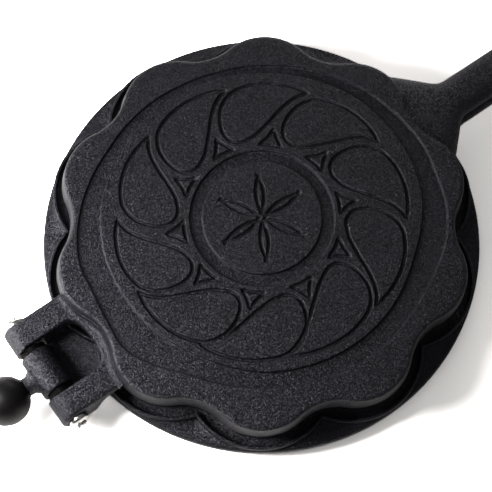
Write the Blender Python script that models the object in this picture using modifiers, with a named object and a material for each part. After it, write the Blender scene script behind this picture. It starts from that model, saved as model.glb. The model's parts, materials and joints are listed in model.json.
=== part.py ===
# Stovetop waffle iron: two hinged castings, with a ball outside the hinge.
# Metres, +Z up. The origin is under the middle of the whole iron, on the table.
# +X runs along the handles, away from the hinge. Outlines are drawn round the plates' centre.

import math

import bmesh
import bpy
from mathutils import Matrix, Vector

for leftover in list(bpy.data.objects):
    bpy.data.objects.remove(leftover, do_unlink=True)

# Clearances, and how far a cutter or a joined root runs past its face
parting_gap = 0.0003
seat_gap = 0.0003
overrun = 0.002
root_overlap = 0.0075
weld_distance = 0.00001
grid_step = 0.000001

# Scalloped outline of the lid, ten lobes round the plates' centre
lobe_count = 10
lobe_reach = 0.1045
dip_depth = 0.009
lobe_radius = 0.029
lobe_steps = 7
dip_steps = 4
lid_height = 0.0177
lid_draft = 0.003
lid_edge_radius = 0.0018
block_height = 0.009
block_setback = 0.002

# Flange and foot of the lower plate
flange_margin = 0.0055
flange_thickness = 0.005
flange_edge = 0.0012
flange_steps = 80
foot_height = 0.005
foot_setback = 0.016
foot_width = 0.010
foot_recess_depth = 0.003
foot_draft = 0.0005

# Scalloped lip on the flange
lip_setback = 0.0005
lip_cusp_depth = 0.011
lip_width = 0.0016
lip_height = 0.0035
lip_steps = 8

# Cooking faces: five hearts, each under two lobes
heart_count = 5
cavity_depth = 0.009
rim_width = 0.007
stud_height = 0.0065
stud_base = 0.0082
stud_tip = 0.0062
stud_pitch = 0.0132
stud_margin = 0.0008
rib_width = 0.0034
rib_root = 0.0035

# Engraved top of the lid
band_setback = 0.0105
band_width = 0.0077
band_hinge_setback = 0.0070
band_handle_setback = 0.0083
band_flat_angle = math.radians(17)
band_fade_angle = math.radians(40)
ring_width = 0.0060
groove_width = 0.0013
engraving_depth = 0.0008
petal_count = 6
circle_steps = 60

# Hinge
hinge_standoff = 0.0165
barrel_radius = 0.008
barrel_length = 0.0216
barrel_chamfer = 0.0006
ear_gap = 0.0278
ear_width = 0.0135
ear_nose_radius = 0.0080
ear_heel_length = 0.0105
ear_edge_radius = 0.0012
ear_lift_angle = math.radians(58)
arm_thickness = 0.0066
arm_fillet = 0.006
web_width = 0.0037
web_end_ease = 0.0078
tongue_flat_length = 0.003
tongue_flare = 0.0075
tongue_step = 0.0004
tongue_bend_rise = 0.0015
tongue_belly_setback = 0.0035
tongue_seat_angle = math.radians(-48)
pin_radius = 0.003
pin_chamfer = 0.0003
pin_recess = 0.0008
washer_radius = 0.0065
screw_head_radius = 0.0052
screw_head_height = 0.0032
screw_shank_radius = 0.0019
screw_shank_length = 0.0075
counterbore_radius = 0.0062
counterbore_depth = 0.0003

# Ball stud
ball_standoff = 0.0159
ball_drop = 0.0018
ball_radius = 0.012
waist_radius = 0.0046
waist_length = 0.002
collar_radius = 0.0060
collar_length = 0.0052
stud_shank_radius = 0.0028
stud_shank_depth = 0.0035

# Handles
tube_length = 0.1636
handle_width = 0.0208
handle_height = 0.0100
handle_gap = 0.0024
handle_drop = 0.0005
handle_end_length = 0.009
handle_corner_share = 0.770
neck_length = 0.036
neck_root_width = 0.058
neck_root_corner_share = 0.263
upper_neck_drop = 0.0025
lower_neck_rise = 0.0035
section_steps = 18

# Rings of the lid's ornament as shares of the room inside the sunk band, and the rosette's petals
# as a share of the room inside the sunk ring
drop_ring_share = 0.9315
triangle_ring_share = 0.6080
ring_share = 0.4554
rosette_share = 0.8220

# Facets round small turned pieces
rod_steps = 24
bore_steps = 20
ball_steps = 12

# Angles between what repeats
lobe_pitch = 2 * math.pi / lobe_count
heart_pitch = 2 * math.pi / heart_count
petal_pitch = 2 * math.pi / petal_count

# Reaches from the plates' centre that follow from the sizes
valley_reach = lobe_reach - dip_depth
flange_radius = lobe_reach + flange_margin
foot_radius = flange_radius - foot_setback
lip_reach = flange_radius - lip_setback
lip_cusp_reach = lip_reach - lip_cusp_depth
cavity_inset = block_setback + rim_width
band_outer_radius = valley_reach - band_setback
band_inner_radius = band_outer_radius - band_width
band_hinge_reach = valley_reach - band_hinge_setback
band_handle_reach = valley_reach - band_handle_setback
drop_ring_radius = band_inner_radius * drop_ring_share
triangle_ring_radius = band_inner_radius * triangle_ring_share
ring_outer_radius = band_inner_radius * ring_share
ring_inner_radius = ring_outer_radius - ring_width
rosette_radius = ring_inner_radius * rosette_share
hinge_reach = flange_radius + hinge_standoff
barrel_back_reach = hinge_reach + barrel_radius
ball_reach = barrel_back_reach + ball_standoff
arm_root_reach = valley_reach - root_overlap
neck_end_reach = arm_root_reach + neck_length
handle_reach = neck_end_reach + tube_length
plate_centre_x = (ball_reach + ball_radius - handle_reach) / 2

# Heights above the table that follow from the sizes
flange_underside_z = foot_height
flange_top_z = foot_height + flange_thickness
parting_z = flange_top_z + block_height
lid_underside_z = parting_z + parting_gap
lid_top_z = lid_underside_z + lid_height
lower_floor_z = parting_z - cavity_depth
upper_ceiling_z = lid_underside_z + cavity_depth
pin_z = parting_z
ball_z = pin_z - ball_drop
clevis_top_z = pin_z + ear_nose_radius
upper_tube_low_z = parting_z - handle_drop + handle_gap / 2
lower_tube_high_z = parting_z - handle_drop - handle_gap / 2
upper_neck_top_z = lid_top_z - upper_neck_drop
lower_neck_top_z = flange_top_z + lower_neck_rise

# Hinge places across the iron, and bores with their clearance
ear_outer_y = ear_gap / 2 + ear_width
screw_face_y = ear_outer_y - counterbore_depth
pin_end_y = screw_face_y - pin_recess
pin_bore_radius = pin_radius + seat_gap
tap_radius = screw_shank_radius + seat_gap
stud_hole_radius = stud_shank_radius + seat_gap

# One drop of the lid's ornament: shares of the lobe pitch round the plate and of the drop ring's
# radius, anticlockwise from its pointed tip
drop_shares = ((-0.98, 0.976), (-0.65, 1.000), (-0.30, 0.982), (-0.02, 0.905), (0.14, 0.760),
               (0.14, 0.635), (0.00, 0.575), (-0.20, 0.577), (-0.42, 0.628), (-0.62, 0.735),
               (-0.82, 0.880))

# The small triangle between two drops: shares of the pitch and of the triangle ring's radius
triangle_shares = ((0.10, 0.815), (0.57, 0.820), (0.32, 1.000))

# Neck of a handle: shares of its length, of its narrowing, of its change of height, and of the
# rounding of its corners
neck_shares = ((0.00, 0.00, 0.00, 0.00), (0.375, 0.00, 0.20, 0.10), (0.50, 0.23, 0.40, 0.20),
               (0.65, 0.51, 0.60, 0.35), (0.80, 0.79, 0.80, 0.60), (0.88, 0.93, 0.90, 0.80),
               (0.94, 0.985, 0.96, 0.93), (1.00, 1.00, 1.00, 1.00))

# Far end of a handle: shares of the end's length and of the section's size
end_shares = ((0.0, 1.00), (0.4, 0.94), (0.72, 0.78), (0.92, 0.50), (1.0, 0.24))

# Pan head of a hinge screw: shares of its radius and of its height
head_shares = ((0.0, 1.0), (0.55, 0.96), (0.82, 0.82), (0.95, 0.60), (1.0, 0.35), (1.0, 0.0))

parts = bpy.data.collections.new("stovetop_waffle_iron")
cutters = bpy.data.collections.new("cutters")
bpy.context.scene.collection.children.link(parts)
bpy.context.scene.collection.children.link(cutters)


# Outlines

def polar(radius, angle):
    return (radius * math.cos(angle), radius * math.sin(angle))


def arc(centre, radius, start, end, steps):
    points = []
    for i in range(steps + 1):
        x, y = polar(radius, start + (end - start) * i / steps)
        points.append((centre[0] + x, centre[1] + y))
    return points


def circle(radius):
    return arc((0, 0), radius, 0, 2 * math.pi, circle_steps)[:-1]


def turned_by(points, angle):
    c = math.cos(angle)
    s = math.sin(angle)
    return [(x * c - y * s, x * s + y * c) for x, y in points]


def mirrored(points):
    return [(x, -y) for x, y in reversed(points)]


def bend(start, corner, end, steps):
    """A curve from start to end that heads for the corner and turns away before it."""
    points = []
    for i in range(steps + 1):
        t = i / steps
        points.append(tuple((1 - t) ** 2 * a + 2 * t * (1 - t) * b + t * t * c
                            for a, b, c in zip(start, corner, end)))
    return points


def flower(offset):
    """Ten lobes joined by tangent valleys; offset moves the whole line outward."""
    half = lobe_pitch / 2
    lobe_centre = lobe_reach - lobe_radius
    valley_radius = ((lobe_centre ** 2 + valley_reach ** 2 - lobe_radius ** 2
                      - 2 * lobe_centre * valley_reach * math.cos(half))
                     / (2 * lobe_radius - 2 * valley_reach + 2 * lobe_centre * math.cos(half)))
    valley_centre = polar(valley_reach + valley_radius, half)
    turn = math.atan2(valley_centre[1], valley_centre[0] - lobe_centre)
    sector = arc((lobe_centre, 0), lobe_radius + offset, -turn, turn, lobe_steps)
    sector += arc(valley_centre, valley_radius - offset, math.pi + turn,
                  math.pi + 2 * half - turn, dip_steps)[1:-1]
    points = []
    for k in range(lobe_count):
        points += turned_by(sector, half + k * lobe_pitch)
    return points


def scallop(inset):
    """Ten outward arcs that meet in inward cusps; inset moves the line inward."""
    half = lobe_pitch / 2
    centre = ((lip_reach ** 2 - lip_cusp_reach ** 2)
              / (2 * (lip_reach - lip_cusp_reach * math.cos(half))))
    radius = lip_reach - centre - inset
    cusp = centre * math.cos(half) + math.sqrt(radius ** 2 - (centre * math.sin(half)) ** 2)
    x, y = polar(cusp, half)
    span = math.atan2(y, x - centre)
    points = []
    for k in range(lobe_count):
        points += turned_by(arc((centre, 0), radius, -span, span, lip_steps)[:-1],
                            half + k * lobe_pitch)
    return points


def band_outline():
    """Outer edge of the sunk band: a circle that runs out to a flat at the hinge and the handle."""
    points = []
    for x, y in circle(band_outer_radius):
        side = 0 if x > 0 else math.pi
        flat_reach = band_handle_reach if x > 0 else band_hinge_reach
        away = abs(math.remainder(math.atan2(y, x) - side, 2 * math.pi))
        fade = (away - band_flat_angle) / (band_fade_angle - band_flat_angle)
        fade = min(max(fade, 0), 1)
        fade = fade * fade * (3 - 2 * fade)
        flat = flat_reach / math.cos(min(away, band_flat_angle))
        points.append(polar(flat + (band_outer_radius - flat) * fade, math.atan2(y, x)))
    return points


def smoothed(points, steps):
    """A round closed line through points, with one corner, at the first."""
    count = len(points)
    result = []
    for i in range(count):
        here = Vector(points[i])
        ahead = Vector(points[(i + 1) % count])
        before = 2 * here - ahead if i == 0 else Vector(points[i - 1])
        beyond = 2 * ahead - here if i == count - 1 else Vector(points[(i + 2) % count])
        for j in range(steps):
            t = j / steps
            spot = (2 * here + (ahead - before) * t
                    + (2 * before - 5 * here + 4 * ahead - beyond) * t ** 2
                    + (3 * here - before - 3 * ahead + beyond) * t ** 3) / 2
            result.append(tuple(spot))
    return result


def moved_line(points, distance):
    """A closed anticlockwise line moved outward by a distance, its corners kept sharp."""
    result = []
    for i, point in enumerate(points):
        here = Vector(point)
        arriving = (here - Vector(points[i - 1])).normalized()
        leaving = (Vector(points[(i + 1) % len(points)]) - here).normalized()
        middle = (arriving + leaving).normalized()
        outward = Vector((middle.y, -middle.x))
        stretch = 1 / max(outward.dot(Vector((leaving.y, -leaving.x))), 0.5)
        result.append(tuple(here + outward * distance * stretch))
    return result


def groove(line):
    """Both edges of an engraved line of the groove's width."""
    return [moved_line(line, groove_width / 2), moved_line(line, -groove_width / 2)]


def drop():
    spots = [polar(reach * drop_ring_radius, along * lobe_pitch) for along, reach in drop_shares]
    return smoothed(spots, 2)


def triangle():
    return [polar(reach * triangle_ring_radius, along * lobe_pitch)
            for along, reach in triangle_shares]


def petal():
    """One petal of the rosette: two arcs of the rosette's own radius, kept clear of its middle."""
    low_centre = polar(rosette_radius, petal_pitch)
    high_centre = polar(rosette_radius, -petal_pitch)
    line = arc(low_centre, rosette_radius, math.pi + petal_pitch, 2 * math.pi - petal_pitch, 5)[:-1]
    line += arc(high_centre, rosette_radius, petal_pitch, math.pi - petal_pitch, 5)[:-1]
    return moved_line(line, -groove_width)


def engraved_lines():
    """The sunk band and ring, and both edges of every groove inside them."""
    outlines = [band_outline(), circle(band_inner_radius)]
    outlines += [circle(ring_outer_radius), circle(ring_inner_radius)]
    for k in range(lobe_count):
        for line in (drop(), triangle()):
            outlines += groove(turned_by(line, k * lobe_pitch))
    for k in range(petal_count):
        outlines += groove(turned_by(petal(), k * petal_pitch))
    return outlines


# Solids

def material(name, colour, roughness, metallic):
    result = bpy.data.materials.new(name)
    result.use_nodes = True
    shader = result.node_tree.nodes["Principled BSDF"]
    shader.inputs["Base Color"].default_value = (*colour, 1)
    shader.inputs["Roughness"].default_value = roughness
    shader.inputs["Metallic"].default_value = metallic
    return result


def add_object(name, data, collection):
    obj = bpy.data.objects.new(name, data)
    collection.objects.link(obj)
    if collection == cutters:
        obj.hide_render = True
        obj.display_type = "WIRE"
    return obj


def put_on_grid(points):
    """Move points to a fine grid, so that faces meant to meet do so exactly."""
    for point in points:
        point.co = [round(value / grid_step) * grid_step for value in point.co]


def fix_place(obj):
    """Write an object's place and turn into its points."""
    obj.data.transform(obj.matrix_basis)
    obj.matrix_basis = Matrix.Identity(4)
    put_on_grid(obj.data.vertices)


def add_mesh(name, form, collection):
    """A mesh object from a bmesh, with its faces pointing out."""
    put_on_grid(form.verts)
    bmesh.ops.recalc_face_normals(form, faces=form.faces)
    mesh = bpy.data.meshes.new(name)
    form.to_mesh(mesh)
    form.free()
    return add_object(name, mesh, collection)


def settled(source, collection):
    """Turn a curve, or a mesh with modifiers, into a plain welded mesh of the same name."""
    name = source.name
    source.name = name + "_source"
    bpy.context.view_layer.update()
    shaped = source.evaluated_get(bpy.context.evaluated_depsgraph_get())
    mesh = bpy.data.meshes.new_from_object(shaped)
    form = bmesh.new()
    form.from_mesh(mesh)
    bpy.data.meshes.remove(mesh)
    form.transform(source.matrix_world)
    bmesh.ops.remove_doubles(form, verts=form.verts, dist=weld_distance)
    result = add_mesh(name, form, collection)
    for step in list(source.modifiers):
        if step.type == "BOOLEAN":
            bpy.data.objects.remove(step.object, do_unlink=True)
    bpy.data.objects.remove(source, do_unlink=True)
    return result


def flat_solid(name, outlines, low, high, collection=cutters):
    """Flat outlines extruded from low to high; an outline inside another is a hole."""
    curve = bpy.data.curves.new(name, "CURVE")
    curve.dimensions = "2D"
    curve.fill_mode = "BOTH"
    curve.extrude = (high - low) / 2
    for outline in outlines:
        spline = curve.splines.new("POLY")
        spline.points.add(len(outline) - 1)
        for point, (x, y) in zip(spline.points, outline):
            point.co = (x, y, 0, 1)
        spline.use_cyclic_u = True
    source = add_object(name, curve, cutters)
    source.location.z = (low + high) / 2
    return settled(source, collection)


def side_solid(name, outline, half_width):
    """An outline in X and Z, as thick as half_width on both sides of the middle plane."""
    obj = flat_solid(name, [outline], -half_width, half_width)
    obj.rotation_euler.x = math.pi / 2
    fix_place(obj)
    return obj


def turned(name, profile, steps, collection=cutters):
    """A profile of (radius, height) pairs, down its outer side, turned about Z."""
    form = bmesh.new()
    corners = [form.verts.new((radius, 0, height)) for radius, height in profile]
    for upper, lower in zip(corners, corners[1:]):
        form.edges.new((upper, lower))
    source = add_mesh(name, form, cutters)
    screw = source.modifiers.new("turn", "SCREW")
    screw.steps = steps
    screw.render_steps = steps
    screw.use_merge_vertices = True
    screw.merge_threshold = weld_distance
    tidy_faces(source)
    return settled(source, collection)


def rod(name, radius, length, steps, collection=cutters):
    """A cylinder along Y on the hinge's axis, its middle at the plates' middle plane."""
    form = bmesh.new()
    bmesh.ops.create_cone(form, cap_ends=True, segments=steps, radius1=radius, radius2=radius,
                          depth=length, matrix=Matrix.Rotation(math.pi / 2, 4, "X"))
    obj = add_mesh(name, form, collection)
    obj.location = (-hinge_reach, 0, pin_z)
    return obj


def lie_along_x(obj):
    """Lay a turned piece so that its heights are reaches from the plates' centre past the hinge."""
    obj.rotation_euler.y = -math.pi / 2
    obj.location = (0, 0, ball_z)


def loft(name, rings):
    """A closed skin through rings of equal point counts, with flat ends."""
    form = bmesh.new()
    made = [[form.verts.new(point) for point in ring] for ring in rings]
    for near, far in zip(made, made[1:]):
        for i in range(len(near)):
            form.faces.new((near[i - 1], near[i], far[i], far[i - 1]))
    form.faces.new(made[0])
    form.faces.new(made[-1])
    return add_mesh(name, form, cutters)


def combine(target, tools, operation):
    for tool in tools:
        fix_place(tool)
        step = target.modifiers.new(tool.name, "BOOLEAN")
        step.operation = operation
        step.solver = "EXACT"
        step.object = tool


def join(target, *tools):
    combine(target, tools, "UNION")


def cut(target, *tools):
    combine(target, tools, "DIFFERENCE")


def bevel(obj, width, segments):
    step = obj.modifiers.new("edge", "BEVEL")
    step.width = width
    step.segments = segments
    step.limit_method = "ANGLE"
    step.angle_limit = math.radians(62)


def tidy_faces(obj):
    """Join faces that lie in one plane and drop the points that no corner needs."""
    step = obj.modifiers.new("flat_faces", "DECIMATE")
    step.decimate_type = "DISSOLVE"
    step.angle_limit = math.radians(1 / 4)


def smooth(obj):
    obj.data.shade_smooth()
    obj.data.set_sharp_from_angle(angle=math.radians(35))


# Cooking faces

def stud_places():
    """Studs on a square grid set on its corner along each heart, clear of ribs and walls."""
    wall = flower(-cavity_inset)
    reach = stud_base / math.sqrt(2) + stud_margin
    rows = range(int(lobe_reach / stud_pitch) + 1)
    half = heart_pitch / 2
    places = []
    for i in rows:
        for j in rows:
            along = (i + j + 1) * stud_pitch / math.sqrt(2)
            side = (i - j) * stud_pitch / math.sqrt(2)
            to_rib = along * math.sin(half) - abs(side) * math.cos(half) - rib_width / 2
            nearest = min(wall, key=lambda point: math.dist(point, (along, side)))
            inside = math.hypot(*nearest) > math.hypot(along, side)
            if inside and to_rib > reach and math.dist(nearest, (along, side)) > reach:
                places.append((along, side))
    return places


def stud_field(name, floor_z, facing):
    form = bmesh.new()
    root_z = floor_z - facing * overrun / 2
    tip_z = floor_z + facing * stud_height
    flip = Matrix.Rotation(0 if facing > 0 else math.pi, 4, "X")
    for k in range(heart_count):
        turn = Matrix.Rotation(k * heart_pitch, 4, "Z")
        for along, side in stud_places():
            stand = Matrix.Translation((along, side, (root_z + tip_z) / 2))
            bmesh.ops.create_cone(form, cap_ends=True, segments=4, depth=abs(tip_z - root_z),
                                  radius1=stud_base / math.sqrt(2), radius2=stud_tip / math.sqrt(2),
                                  matrix=turn @ stand @ flip)
    return add_mesh(name, form, cutters)


def heart_ribs(name, floor_z, facing):
    """A five-armed star of ribs, from the middle into the cavity's wall at every second valley."""
    rib_reach = valley_reach - cavity_inset + rib_root
    star = []
    for k in range(heart_count):
        arm = (k + 1 / 2) * heart_pitch
        star.append(polar(rib_width / 2 / math.sin(heart_pitch / 2), arm - heart_pitch / 2))
        star += turned_by([(rib_reach, -rib_width / 2), (rib_reach, rib_width / 2)], arm)
    ends = sorted((floor_z - facing * overrun / 2, floor_z + facing * stud_height))
    return flat_solid(name, [star], *ends)


def cooking_face(plate, side, floor_z, facing):
    """Sink the cavity into a plate and stand its ribs and studs on the floor."""
    ends = sorted((floor_z, floor_z + facing * (cavity_depth + overrun)))
    cut(plate, flat_solid(side + "_cavity", [flower(-cavity_inset)], *ends))
    join(plate, heart_ribs(side + "_ribs", floor_z, facing), stud_field(side + "_studs", floor_z, facing))


# Handles

def section(x, half_width, low, high, corner_share):
    """A cross-section at one place along a handle: a rectangle at corner share 0, an oval at 1."""
    ring = []
    for i in range(section_steps):
        c, s = polar(1, 2 * math.pi * (i + 1 / 2) / section_steps)
        y = half_width * math.copysign(abs(c) ** corner_share, c)
        z = (high - low) / 2 * math.copysign(abs(s) ** corner_share, s)
        ring.append((x, y, (low + high) / 2 + z))
    return ring


def handle(name, root_low, root_high, tube_low):
    """A handle lofted from the plate's shoulder, through its neck, along the tube to a round end."""
    tube_high = tube_low + handle_height
    rings = []
    for along, narrowing, rise, rounding in neck_shares:
        width = neck_root_width + (handle_width - neck_root_width) * narrowing
        corner = neck_root_corner_share + (handle_corner_share - neck_root_corner_share) * rounding
        rings.append(section(arm_root_reach + neck_length * along, width / 2,
                             root_low + (tube_low - root_low) * rise,
                             root_high + (tube_high - root_high) * rise, corner))
    middle = (tube_low + tube_high) / 2
    for along, size in end_shares:
        half_height = size * handle_height / 2
        rings.append(section(handle_reach - handle_end_length * (1 - along), size * handle_width / 2,
                             middle - half_height, middle + half_height, handle_corner_share))
    return loft(name, rings)


# Hinge forms

def clevis():
    """Two ears round the pin and the web that carries them from the lid."""
    nose = (-hinge_reach, pin_z)
    low_z = clevis_top_z - arm_thickness
    slope = ear_lift_angle
    heel_x = ear_heel_length - hinge_reach
    heel_z = pin_z - ear_nose_radius
    fillet_x = heel_x + (low_z - heel_z) / math.tan(slope) + arm_fillet * math.tan(slope / 2)
    outline = [(-arm_root_reach, clevis_top_z)]
    outline += arc(nose, ear_nose_radius, math.pi / 2, 3 * math.pi / 2, 12)
    outline.append((heel_x, heel_z))
    outline += arc((fillet_x, low_z - arm_fillet), arm_fillet, math.pi / 2 + slope, math.pi / 2, 3)
    outline.append((-arm_root_reach, low_z))
    body = side_solid("clevis", outline, ear_outer_y)
    cut(body, clevis_slot())
    bevel(body, ear_edge_radius, 2)
    return settled(body, cutters)


def ear_bore():
    """The pin's bore through both ears, with a seat for a screw's head at each end."""
    far = ear_outer_y + overrun
    bore = turned("ear_bore", ((0, far), (counterbore_radius, far), (counterbore_radius, screw_face_y),
                               (pin_bore_radius, screw_face_y), (pin_bore_radius, -screw_face_y),
                               (counterbore_radius, -screw_face_y), (counterbore_radius, -far),
                               (0, -far)), rod_steps)
    bore.rotation_euler.x = math.pi / 2
    bore.location = (-hinge_reach, 0, pin_z)
    return bore


def clevis_slot():
    """The space between the ears, with a round inner end at the web."""
    half = ear_gap / 2
    end_radius = half + web_end_ease
    turn = math.asin(half / end_radius)
    outer = -hinge_reach - ear_nose_radius - overrun
    outline = [(outer, half), (outer, -half)]
    outline += arc((-valley_reach - web_width - end_radius, 0), end_radius, -turn, turn, 8)
    return flat_solid("clevis_slot", [outline], pin_z - ear_nose_radius - overrun,
                      clevis_top_z + overrun)


def tongue():
    """The arm of the lower plate that carries the barrel, flared where it leaves the flange."""
    top_z = flange_top_z - tongue_step
    low_z = flange_underside_z + tongue_step
    seat_x, seat_z = polar(barrel_radius, tongue_seat_angle)
    seat = (seat_x - hinge_reach, seat_z + pin_z)
    root_x = overrun - flange_radius + tongue_flare
    flat_x = -flange_radius - tongue_flat_length
    outline = [(root_x, top_z)]
    outline += bend((flat_x, top_z), (barrel_radius + tongue_bend_rise - hinge_reach, top_z), seat, 4)
    outline += [(-hinge_reach, pin_z)]
    outline += bend((-hinge_reach, pin_z - barrel_radius),
                    (tongue_belly_setback - hinge_reach, low_z), (overrun - flange_radius, low_z), 5)
    outline += [(root_x, low_z)]
    straight = barrel_length / 2 - barrel_chamfer
    root_half = straight + tongue_flare
    body = side_solid("tongue", outline, root_half + overrun)
    edge = [(-barrel_back_reach, -straight)]
    edge += arc((flat_x, -root_half), tongue_flare, math.pi / 2, 0, 5)
    edge += [(root_x + overrun, -root_half)]
    plan = flat_solid("tongue_plan", [edge + mirrored(edge)], low_z - overrun, pin_z + barrel_radius)
    combine(body, [plan], "INTERSECT")
    return settled(body, cutters)


# Materials
cast_black = material("black_cast_iron", (0.012, 0.012, 0.014), 0.5, 0.3)
turned_black = material("blackened_steel", (0.02, 0.018, 0.02), 0.3, 0.8)
zinc_plated = material("zinc_plated_steel", (0.6, 0.6, 0.6), 0.3, 1.0)
plain_steel = material("plain_steel", (0.35, 0.35, 0.36), 0.4, 1.0)


# Pieces

def lower_plate():
    """Flange, foot ring, lip, cooking block, hinge tongue and barrel, and the lower handle."""
    inner_foot = foot_radius - foot_width
    profile = ((0, flange_top_z), (flange_radius - flange_edge, flange_top_z),
               (flange_radius, flange_top_z - flange_edge),
               (flange_radius, flange_underside_z + flange_edge),
               (flange_radius - flange_edge, flange_underside_z),
               (foot_radius, flange_underside_z), (foot_radius - foot_draft, 0),
               (inner_foot, 0), (inner_foot - foot_draft, foot_recess_depth), (0, foot_recess_depth))
    plate = turned("lower_plate", profile, flange_steps, parts)
    block = flat_solid("block", [flower(-block_setback)], flange_top_z - overrun, parting_z)
    lip = flat_solid("lip", [scallop(0), scallop(lip_width)], flange_top_z - overrun,
                     flange_top_z + lip_height)
    barrel = rod("barrel", barrel_radius, barrel_length, rod_steps)
    bevel(barrel, barrel_chamfer, 1)
    arm = handle("lower_handle", flange_underside_z, lower_neck_top_z,
                 lower_tube_high_z - handle_height)
    join(plate, block, lip, tongue(), barrel, arm)
    cooking_face(plate, "lower", lower_floor_z, 1)
    bore = rod("barrel_bore", pin_bore_radius, barrel_length + overrun, bore_steps)
    hole = turned("stud_hole", ((0, barrel_back_reach + overrun),
                                (stud_hole_radius, barrel_back_reach + overrun),
                                (stud_hole_radius, barrel_back_reach - stud_shank_depth),
                                (0, barrel_back_reach - stud_shank_depth)), bore_steps)
    lie_along_x(hole)
    cut(plate, bore, hole)
    tidy_faces(plate)
    return plate


def upper_plate():
    """Lid with its engraved top, the two hinge ears and the upper handle."""
    plate = flat_solid("upper_plate", [flower(0)], lid_underside_z, lid_top_z, parts)
    draw_in_top(plate)
    arm = handle("upper_handle", lid_underside_z, upper_neck_top_z, upper_tube_low_z)
    join(plate, arm, clevis())
    cut(plate, ear_bore())
    cooking_face(plate, "upper", upper_ceiling_z, -1)
    engraving = flat_solid("engraving", engraved_lines(), lid_top_z - engraving_depth,
                           lid_top_z + overrun)
    cut(plate, engraving)
    tidy_faces(plate)
    return plate


def draw_in_top(lid):
    """Give the lid's wall its draft, then round the top edge."""
    form = bmesh.new()
    form.from_mesh(lid.data)
    top = [vert for vert in form.verts if vert.co.z > (lid_underside_z + lid_top_z) / 2]
    share = 1 - lid_draft / lobe_reach
    bmesh.ops.scale(form, vec=(share, share, 1), verts=top)
    rim = [edge for edge in form.edges if all(vert in top for vert in edge.verts)
           and any(face.normal.z < 1 / 2 for face in edge.link_faces)]
    bmesh.ops.bevel(form, geom=rim, offset=lid_edge_radius, segments=2, affect="EDGES",
                    profile=1 / 2)
    put_on_grid(form.verts)
    form.to_mesh(lid.data)
    form.free()


def ball_stud():
    """Ball, waist and collar turned in one, hollowed to the barrel, with a shank in its hole."""
    meet = math.pi - math.asin(waist_radius / ball_radius)
    profile = [(0, ball_reach + ball_radius)]
    for i in range(1, ball_steps + 1):
        radius, height = ball_radius * math.sin(meet * i / ball_steps), math.cos(meet * i / ball_steps)
        profile.append((radius, ball_reach + ball_radius * height))
    profile.append((waist_radius, barrel_back_reach + waist_length))
    profile.append((collar_radius, barrel_back_reach - seat_gap))
    profile.append((collar_radius, barrel_back_reach - collar_length))
    profile.append((0, barrel_back_reach - collar_length))
    stud = turned("ball_stud", profile, rod_steps, parts)
    lie_along_x(stud)
    cut(stud, rod("collar_saddle", barrel_radius + seat_gap, barrel_length, rod_steps))
    shank_end = barrel_back_reach - stud_shank_depth + seat_gap
    shank = turned("stud_shank", ((0, barrel_back_reach + waist_length),
                                  (stud_shank_radius, barrel_back_reach + waist_length),
                                  (stud_shank_radius, shank_end), (0, shank_end)), bore_steps)
    lie_along_x(shank)
    join(stud, shank)
    return stud


def hinge_pin():
    """The steel rod that the barrel turns on, tapped at both ends."""
    pin = rod("hinge_pin", pin_radius, 2 * pin_end_y, rod_steps, parts)
    bevel(pin, pin_chamfer, 1)
    for name, side in (("left", 1), ("right", -1)):
        tap = rod("tap_" + name, tap_radius, 2 * screw_shank_length, bore_steps)
        tap.location.y = side * pin_end_y
        cut(pin, tap)
    return pin


def hinge_screw(name, side):
    """A pan-head screw: head in the ear's counterbore, shank in the pin's tapped end."""
    profile = [(reach * screw_head_radius, seat_gap + rise * screw_head_height)
               for reach, rise in head_shares]
    shank_end = seat_gap - pin_recess - screw_shank_length
    profile += [(screw_shank_radius, seat_gap), (screw_shank_radius, shank_end), (0, shank_end)]
    screw = turned(name, profile, rod_steps, parts)
    screw.rotation_euler.x = -side * math.pi / 2
    screw.location = (-hinge_reach, side * screw_face_y, pin_z)
    return screw


def spacer_washer(name, side):
    room = (ear_gap - barrel_length) / 2
    half = room / 2 - seat_gap
    profile = ((washer_radius, half), (washer_radius, -half), (pin_bore_radius, -half),
               (pin_bore_radius, half), (washer_radius, half))
    washer = turned(name, profile, rod_steps, parts)
    washer.rotation_euler.x = math.pi / 2
    washer.location = (-hinge_reach, side * (barrel_length + room) / 2, pin_z)
    return washer


# Assembly
plate_centre = add_object("plate_centre", None, parts)
hinge_axis = add_object("hinge_axis", None, parts)
hinge_axis.location = (-hinge_reach, 0, pin_z)


def hang(empty, finish, pieces):
    """Parent pieces, and the cutters that shape them, to an empty without moving them."""
    for piece in pieces:
        piece.data.materials.append(finish)
        tools = [step.object for step in piece.modifiers if step.type == "BOOLEAN"]
        for obj in [piece] + tools:
            obj.parent = empty
            obj.location -= empty.location


lower = lower_plate()
stud = ball_stud()
upper = upper_plate()
pin = hinge_pin()
screws = [hinge_screw("hinge_screw_left", 1), hinge_screw("hinge_screw_right", -1)]
washers = [spacer_washer("spacer_washer_left", 1), spacer_washer("spacer_washer_right", -1)]
for piece in [stud, pin] + screws + washers:
    smooth(piece)

hang(plate_centre, cast_black, [lower])
hang(plate_centre, turned_black, [stud])
hang(hinge_axis, cast_black, [upper])
hang(hinge_axis, plain_steel, [pin] + washers)
hang(hinge_axis, zinc_plated, screws)
hinge_axis.parent = plate_centre
plate_centre.location.x = plate_centre_x
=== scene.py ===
import json
import math

import bmesh
import bpy
import numpy as np
from mathutils import Matrix, Vector
from mathutils.geometry import delaunay_2d_cdt


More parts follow.
